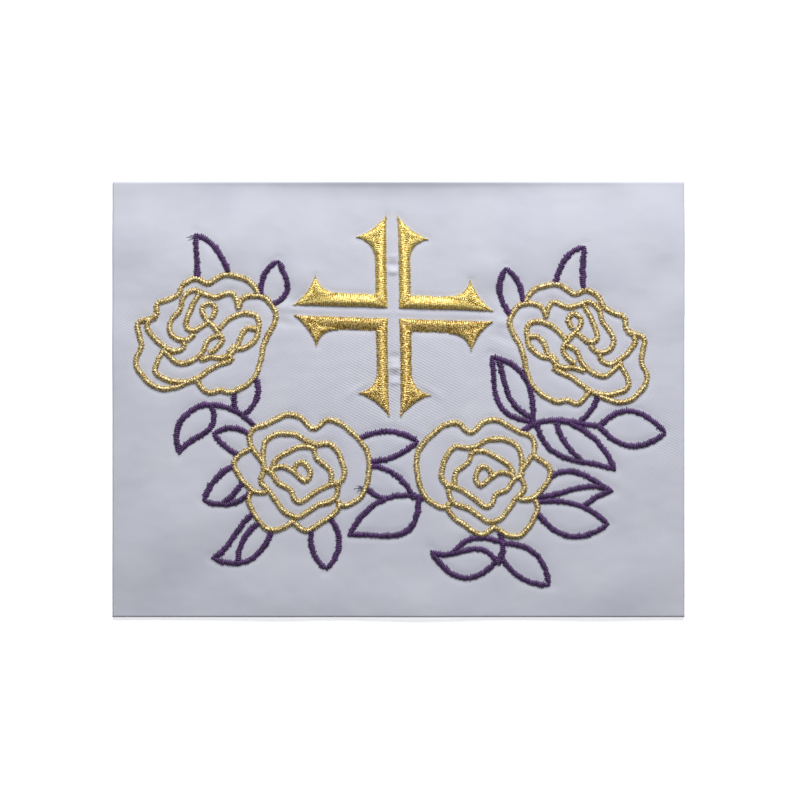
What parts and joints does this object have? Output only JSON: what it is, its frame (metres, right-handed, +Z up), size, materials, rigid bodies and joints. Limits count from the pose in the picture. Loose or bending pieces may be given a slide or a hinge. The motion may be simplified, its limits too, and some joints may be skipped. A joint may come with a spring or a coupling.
{
  "type": "embroidered altar cloth",
  "caption": "Flat-lying cut length of white twill for an altar, with a voided cross, roses and leaf sprays in raised satin stitch.",
  "frame": {"origin": "centre of the cloth's box, on the flat underside that rests on the surface", "axes": "+X along the cloth's longer side, to the right as the embroidery is read; +Y towards its top edge; +Z up out of the embroidered face"},
  "size_m": [0.1906, 0.1452, 0.0032],
  "materials": {
    "white_cloth": "matt twill weave",
    "gold_thread": "metallic satin stitch",
    "purple_thread": "lustrous satin stitch"
  },
  "bodies": {
    "root": {"cloth": "white_cloth", "cross_upper_left": "gold_thread", "cross_upper_right": "gold_thread", "cross_lower_left": "gold_thread", "cross_lower_right": "gold_thread", "rose_upper_left": "gold_thread", "rose_upper_right": "gold_thread", "rose_lower_left": "gold_thread", "rose_lower_right": "gold_thread", "leaf_top_left": "purple_thread", "leaf_top_left_inner": "purple_thread", "leaf_top_right_inner": "purple_thread", "leaf_top_right": "purple_thread", "spray_left": "purple_thread", "leaf_left_upper": "purple_thread", "leaf_left_lower": "purple_thread", "leaf_low_left": "purple_thread", "leaf_low": "purple_thread", "leaf_middle_upper": "purple_thread", "spray_middle": "purple_thread", "spray_right": "purple_thread", "spray_low_right": "purple_thread", "spray_bottom": "purple_thread"}
  },
  "joints": []
}
